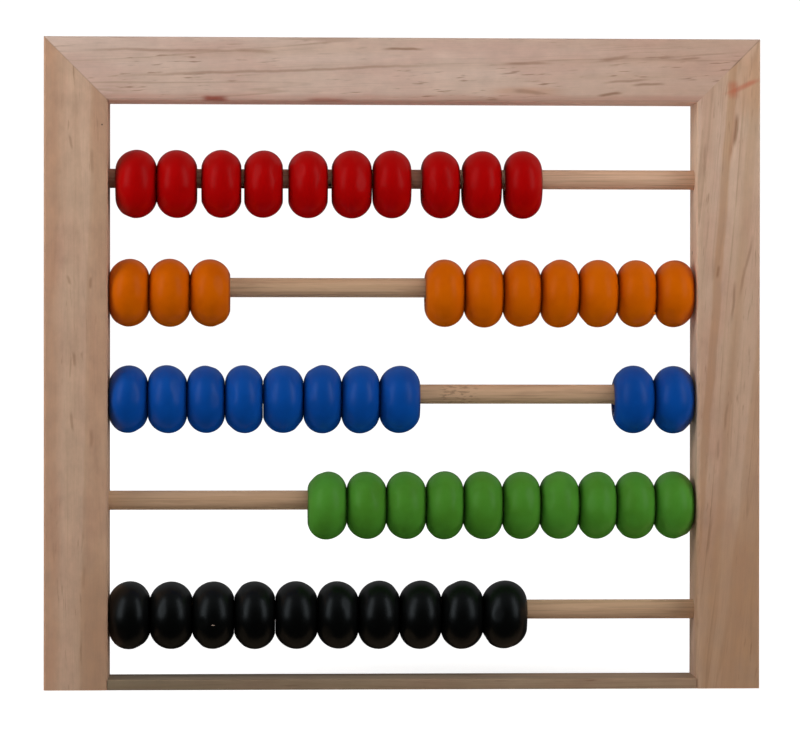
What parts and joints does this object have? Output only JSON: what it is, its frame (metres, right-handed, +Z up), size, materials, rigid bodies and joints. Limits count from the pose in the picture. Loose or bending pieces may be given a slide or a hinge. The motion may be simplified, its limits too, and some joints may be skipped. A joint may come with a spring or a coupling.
{
  "type": "wooden abacus",
  "caption": "Upright pine counting frame with a mitred top, whose coloured ring beads slide along horizontal dowel rods, one colour to a row; a thin slat closes its base.",
  "frame": {"origin": "middle of the underside, on the surface that the frame stands on", "axes": "+X along the rods to the right as seen from the front, +Y from the front to the back, +Z up"},
  "size_m": [0.22, 0.0212, 0.2],
  "materials": {
    "pine": "bare pine, planed and sanded",
    "dowel": "bare hardwood dowel, sanded",
    "red_paint": "satin red paint on turned wood",
    "orange_paint": "satin orange paint on turned wood",
    "blue_paint": "satin blue paint on turned wood",
    "green_paint": "satin green paint on turned wood",
    "black_paint": "satin black paint on turned wood",
    "brad_steel": "bright steel wire"
  },
  "bodies": {
    "frame": {"left_stile": "pine", "right_stile": "pine", "top_rail": "pine", "bottom_rail": "pine", "frame_brads": "brad_steel", "red_rod": "dowel", "orange_rod": "dowel", "blue_rod": "dowel", "green_rod": "dowel", "black_rod": "dowel"},
    "red_bead_1": {"red_bead_1": "red_paint"},
    "red_bead_2": {"red_bead_2": "red_paint"},
    "red_bead_3": {"red_bead_3": "red_paint"},
    "red_bead_4": {"red_bead_4": "red_paint"},
    "red_bead_5": {"red_bead_5": "red_paint"},
    "red_bead_6": {"red_bead_6": "red_paint"},
    "red_bead_7": {"red_bead_7": "red_paint"},
    "red_bead_8": {"red_bead_8": "red_paint"},
    "red_bead_9": {"red_bead_9": "red_paint"},
    "red_bead_10": {"red_bead_10": "red_paint"},
    "orange_bead_1": {"orange_bead_1": "orange_paint"},
    "orange_bead_2": {"orange_bead_2": "orange_paint"},
    "orange_bead_3": {"orange_bead_3": "orange_paint"},
    "orange_bead_4": {"orange_bead_4": "orange_paint"},
    "orange_bead_5": {"orange_bead_5": "orange_paint"},
    "orange_bead_6": {"orange_bead_6": "orange_paint"},
    "orange_bead_7": {"orange_bead_7": "orange_paint"},
    "orange_bead_8": {"orange_bead_8": "orange_paint"},
    "orange_bead_9": {"orange_bead_9": "orange_paint"},
    "orange_bead_10": {"orange_bead_10": "orange_paint"},
    "blue_bead_1": {"blue_bead_1": "blue_paint"},
    "blue_bead_2": {"blue_bead_2": "blue_paint"},
    "blue_bead_3": {"blue_bead_3": "blue_paint"},
    "blue_bead_4": {"blue_bead_4": "blue_paint"},
    "blue_bead_5": {"blue_bead_5": "blue_paint"},
    "blue_bead_6": {"blue_bead_6": "blue_paint"},
    "blue_bead_7": {"blue_bead_7": "blue_paint"},
    "blue_bead_8": {"blue_bead_8": "blue_paint"},
    "blue_bead_9": {"blue_bead_9": "blue_paint"},
    "blue_bead_10": {"blue_bead_10": "blue_paint"},
    "green_bead_1": {"green_bead_1": "green_paint"},
    "green_bead_2": {"green_bead_2": "green_paint"},
    "green_bead_3": {"green_bead_3": "green_paint"},
    "green_bead_4": {"green_bead_4": "green_paint"},
    "green_bead_5": {"green_bead_5": "green_paint"},
    "green_bead_6": {"green_bead_6": "green_paint"},
    "green_bead_7": {"green_bead_7": "green_paint"},
    "green_bead_8": {"green_bead_8": "green_paint"},
    "green_bead_9": {"green_bead_9": "green_paint"},
    "green_bead_10": {"green_bead_10": "green_paint"},
    "black_bead_1": {"black_bead_1": "black_paint"},
    "black_bead_2": {"black_bead_2": "black_paint"},
    "black_bead_3": {"black_bead_3": "black_paint"},
    "black_bead_4": {"black_bead_4": "black_paint"},
    "black_bead_5": {"black_bead_5": "black_paint"},
    "black_bead_6": {"black_bead_6": "black_paint"},
    "black_bead_7": {"black_bead_7": "black_paint"},
    "black_bead_8": {"black_bead_8": "black_paint"},
    "black_bead_9": {"black_bead_9": "black_paint"},
    "black_bead_10": {"black_bead_10": "black_paint"}
  },
  "joints": [
    {"name": "red_bead_1_slide", "type": "slide", "parent": "frame", "child": "red_bead_1", "axis": [1, 0, 0], "range_m": [-0.002, 0.04727]},
    {"name": "red_bead_2_slide", "type": "slide", "parent": "frame", "child": "red_bead_2", "axis": [1, 0, 0], "range_m": [-0.002, 0.04727]},
    {"name": "red_bead_3_slide", "type": "slide", "parent": "frame", "child": "red_bead_3", "axis": [1, 0, 0], "range_m": [-0.002, 0.04727]},
    {"name": "red_bead_4_slide", "type": "slide", "parent": "frame", "child": "red_bead_4", "axis": [1, 0, 0], "range_m": [-0.002, 0.04727]},
    {"name": "red_bead_5_slide", "type": "slide", "parent": "frame", "child": "red_bead_5", "axis": [1, 0, 0], "range_m": [-0.002, 0.04727]},
    {"name": "red_bead_6_slide", "type": "slide", "parent": "frame", "child": "red_bead_6", "axis": [1, 0, 0], "range_m": [-0.002, 0.04727]},
    {"name": "red_bead_7_slide", "type": "slide", "parent": "frame", "child": "red_bead_7", "axis": [1, 0, 0], "range_m": [-0.002, 0.04727]},
    {"name": "red_bead_8_slide", "type": "slide", "parent": "red_bead_7", "child": "red_bead_8", "axis": [-1, 0, 0], "range_m": [-0.04727, 0.0031]},
    {"name": "red_bead_9_slide", "type": "slide", "parent": "red_bead_7", "child": "red_bead_9", "axis": [-1, 0, 0], "range_m": [-0.04727, 0.0031]},
    {"name": "red_bead_10_slide", "type": "slide", "parent": "red_bead_7", "child": "red_bead_10", "axis": [-1, 0, 0], "range_m": [-0.04727, 0.0031]},
    {"name": "orange_bead_1_slide", "type": "slide", "parent": "frame", "child": "orange_bead_1", "axis": [1, 0, 0], "range_m": [0, 0.06009]},
    {"name": "orange_bead_2_slide", "type": "slide", "parent": "frame", "child": "orange_bead_2", "axis": [1, 0, 0], "range_m": [0, 0.06009]},
    {"name": "orange_bead_3_slide", "type": "slide", "parent": "frame", "child": "orange_bead_3", "axis": [1, 0, 0], "range_m": [0, 0.06009]},
    {"name": "orange_bead_4_slide", "type": "slide", "parent": "frame", "child": "orange_bead_4", "axis": [1, 0, 0], "range_m": [-0.06009, 0]},
    {"name": "orange_bead_5_slide", "type": "slide", "parent": "frame", "child": "orange_bead_5", "axis": [1, 0, 0], "range_m": [-0.06009, 0]},
    {"name": "orange_bead_6_slide", "type": "slide", "parent": "frame", "child": "orange_bead_6", "axis": [1, 0, 0], "range_m": [-0.06009, 0]},
    {"name": "orange_bead_7_slide", "type": "slide", "parent": "frame", "child": "orange_bead_7", "axis": [1, 0, 0], "range_m": [-0.06009, 0]},
    {"name": "orange_bead_8_slide", "type": "slide", "parent": "frame", "child": "orange_bead_8", "axis": [1, 0, 0], "range_m": [-0.06009, 0]},
    {"name": "orange_bead_9_slide", "type": "slide", "parent": "frame", "child": "orange_bead_9", "axis": [1, 0, 0], "range_m": [-0.06009, 0]},
    {"name": "orange_bead_10_slide", "type": "slide", "parent": "frame", "child": "orange_bead_10", "axis": [1, 0, 0], "range_m": [-0.06009, 0]},
    {"name": "blue_bead_1_slide", "type": "slide", "parent": "frame", "child": "blue_bead_1", "axis": [1, 0, 0], "range_m": [0, 0.05997]},
    {"name": "blue_bead_2_slide", "type": "slide", "parent": "frame", "child": "blue_bead_2", "axis": [1, 0, 0], "range_m": [0, 0.05997]},
    {"name": "blue_bead_3_slide", "type": "slide", "parent": "frame", "child": "blue_bead_3", "axis": [1, 0, 0], "range_m": [0, 0.05997]},
    {"name": "blue_bead_4_slide", "type": "slide", "parent": "frame", "child": "blue_bead_4", "axis": [1, 0, 0], "range_m": [0, 0.05997]},
    {"name": "blue_bead_5_slide", "type": "slide", "parent": "frame", "child": "blue_bead_5", "axis": [1, 0, 0], "range_m": [0, 0.05997]},
    {"name": "blue_bead_6_slide", "type": "slide", "parent": "frame", "child": "blue_bead_6", "axis": [1, 0, 0], "range_m": [0, 0.05997]},
    {"name": "blue_bead_7_slide", "type": "slide", "parent": "frame", "child": "blue_bead_7", "axis": [1, 0, 0], "range_m": [0, 0.05997]},
    {"name": "blue_bead_8_slide", "type": "slide", "parent": "frame", "child": "blue_bead_8", "axis": [1, 0, 0], "range_m": [0, 0.05997]},
    {"name": "blue_bead_9_slide", "type": "slide", "parent": "frame", "child": "blue_bead_9", "axis": [1, 0, 0], "range_m": [-0.05997, 0]},
    {"name": "blue_bead_10_slide", "type": "slide", "parent": "frame", "child": "blue_bead_10", "axis": [1, 0, 0], "range_m": [-0.05997, 0]},
    {"name": "green_bead_6_slide", "type": "slide", "parent": "frame", "child": "green_bead_6", "axis": [1, 0, 0], "range_m": [-0.06115, 0]},
    {"name": "green_bead_7_slide", "type": "slide", "parent": "frame", "child": "green_bead_7", "axis": [1, 0, 0], "range_m": [-0.06115, 0]},
    {"name": "green_bead_8_slide", "type": "slide", "parent": "frame", "child": "green_bead_8", "axis": [1, 0, 0], "range_m": [-0.06115, 0]},
    {"name": "green_bead_9_slide", "type": "slide", "parent": "frame", "child": "green_bead_9", "axis": [1, 0, 0], "range_m": [-0.06115, 0]},
    {"name": "green_bead_10_slide", "type": "slide", "parent": "frame", "child": "green_bead_10", "axis": [1, 0, 0], "range_m": [-0.06115, 0]},
    {"name": "green_bead_1_slide", "type": "slide", "parent": "green_bead_6", "child": "green_bead_1", "axis": [-1, 0, 0], "range_m": [0, 0.06115]},
    {"name": "green_bead_2_slide", "type": "slide", "parent": "green_bead_6", "child": "green_bead_2", "axis": [-1, 0, 0], "range_m": [0, 0.06115]},
    {"name": "green_bead_3_slide", "type": "slide", "parent": "green_bead_6", "child": "green_bead_3", "axis": [-1, 0, 0], "range_m": [0, 0.06115]},
    {"name": "green_bead_4_slide", "type": "slide", "parent": "green_bead_6", "child": "green_bead_4", "axis": [-1, 0, 0], "range_m": [0, 0.06115]},
    {"name": "green_bead_5_slide", "type": "slide", "parent": "green_bead_6", "child": "green_bead_5", "axis": [-1, 0, 0], "range_m": [0, 0.06115]},
    {"name": "black_bead_1_slide", "type": "slide", "parent": "frame", "child": "black_bead_1", "axis": [1, 0, 0], "range_m": [0, 0.0518]},
    {"name": "black_bead_2_slide", "type": "slide", "parent": "frame", "child": "black_bead_2", "axis": [1, 0, 0], "range_m": [0, 0.0518]},
    {"name": "black_bead_3_slide", "type": "slide", "parent": "frame", "child": "black_bead_3", "axis": [1, 0, 0], "range_m": [0, 0.0518]},
    {"name": "black_bead_4_slide", "type": "slide", "parent": "frame", "child": "black_bead_4", "axis": [1, 0, 0], "range_m": [0, 0.0518]},
    {"name": "black_bead_5_slide", "type": "slide", "parent": "frame", "child": "black_bead_5", "axis": [1, 0, 0], "range_m": [0, 0.0518]},
    {"name": "black_bead_6_slide", "type": "slide", "parent": "black_bead_5", "child": "black_bead_6", "axis": [-1, 0, 0], "range_m": [-0.0518, 0]},
    {"name": "black_bead_7_slide", "type": "slide", "parent": "black_bead_5", "child": "black_bead_7", "axis": [-1, 0, 0], "range_m": [-0.0518, 0]},
    {"name": "black_bead_8_slide", "type": "slide", "parent": "black_bead_5", "child": "black_bead_8", "axis": [-1, 0, 0], "range_m": [-0.0518, 0]},
    {"name": "black_bead_9_slide", "type": "slide", "parent": "black_bead_5", "child": "black_bead_9", "axis": [-1, 0, 0], "range_m": [-0.0518, 0]},
    {"name": "black_bead_10_slide", "type": "slide", "parent": "black_bead_5", "child": "black_bead_10", "axis": [-1, 0, 0], "range_m": [-0.0518, 0]}
  ],
  "couplings": [
    {"joint": "red_bead_2_slide", "follows": "red_bead_1_slide", "ratio": 1},
    {"joint": "red_bead_3_slide", "follows": "red_bead_1_slide", "ratio": 1},
    {"joint": "red_bead_4_slide", "follows": "red_bead_1_slide", "ratio": 1},
    {"joint": "red_bead_5_slide", "follows": "red_bead_1_slide", "ratio": 1},
    {"joint": "red_bead_6_slide", "follows": "red_bead_1_slide", "ratio": 1},
    {"joint": "red_bead_7_slide", "follows": "red_bead_1_slide", "ratio": 1},
    {"joint": "red_bead_9_slide", "follows": "red_bead_8_slide", "ratio": 1},
    {"joint": "red_bead_10_slide", "follows": "red_bead_8_slide", "ratio": 1},
    {"joint": "orange_bead_2_slide", "follows": "orange_bead_1_slide", "ratio": 1},
    {"joint": "orange_bead_3_slide", "follows": "orange_bead_1_slide", "ratio": 1},
    {"joint": "orange_bead_5_slide", "follows": "orange_bead_4_slide", "ratio": 1},
    {"joint": "orange_bead_6_slide", "follows": "orange_bead_4_slide", "ratio": 1},
    {"joint": "orange_bead_7_slide", "follows": "orange_bead_4_slide", "ratio": 1},
    {"joint": "orange_bead_8_slide", "follows": "orange_bead_4_slide", "ratio": 1},
    {"joint": "orange_bead_9_slide", "follows": "orange_bead_4_slide", "ratio": 1},
    {"joint": "orange_bead_10_slide", "follows": "orange_bead_4_slide", "ratio": 1},
    {"joint": "blue_bead_2_slide", "follows": "blue_bead_1_slide", "ratio": 1},
    {"joint": "blue_bead_3_slide", "follows": "blue_bead_1_slide", "ratio": 1},
    {"joint": "blue_bead_4_slide", "follows": "blue_bead_1_slide", "ratio": 1},
    {"joint": "blue_bead_5_slide", "follows": "blue_bead_1_slide", "ratio": 1},
    {"joint": "blue_bead_6_slide", "follows": "blue_bead_1_slide", "ratio": 1},
    {"joint": "blue_bead_7_slide", "follows": "blue_bead_1_slide", "ratio": 1},
    {"joint": "blue_bead_8_slide", "follows": "blue_bead_1_slide", "ratio": 1},
    {"joint": "blue_bead_10_slide", "follows": "blue_bead_9_slide", "ratio": 1},
    {"joint": "green_bead_7_slide", "follows": "green_bead_6_slide", "ratio": 1},
    {"joint": "green_bead_8_slide", "follows": "green_bead_6_slide", "ratio": 1},
    {"joint": "green_bead_9_slide", "follows": "green_bead_6_slide", "ratio": 1},
    {"joint": "green_bead_10_slide", "follows": "green_bead_6_slide", "ratio": 1},
    {"joint": "green_bead_2_slide", "follows": "green_bead_1_slide", "ratio": 1},
    {"joint": "green_bead_3_slide", "follows": "green_bead_1_slide", "ratio": 1},
    {"joint": "green_bead_4_slide", "follows": "green_bead_1_slide", "ratio": 1},
    {"joint": "green_bead_5_slide", "follows": "green_bead_1_slide", "ratio": 1},
    {"joint": "black_bead_2_slide", "follows": "black_bead_1_slide", "ratio": 1},
    {"joint": "black_bead_3_slide", "follows": "black_bead_1_slide", "ratio": 1},
    {"joint": "black_bead_4_slide", "follows": "black_bead_1_slide", "ratio": 1},
    {"joint": "black_bead_5_slide", "follows": "black_bead_1_slide", "ratio": 1},
    {"joint": "black_bead_7_slide", "follows": "black_bead_6_slide", "ratio": 1},
    {"joint": "black_bead_8_slide", "follows": "black_bead_6_slide", "ratio": 1},
    {"joint": "black_bead_9_slide", "follows": "black_bead_6_slide", "ratio": 1},
    {"joint": "black_bead_10_slide", "follows": "black_bead_6_slide", "ratio": 1}
  ]
}
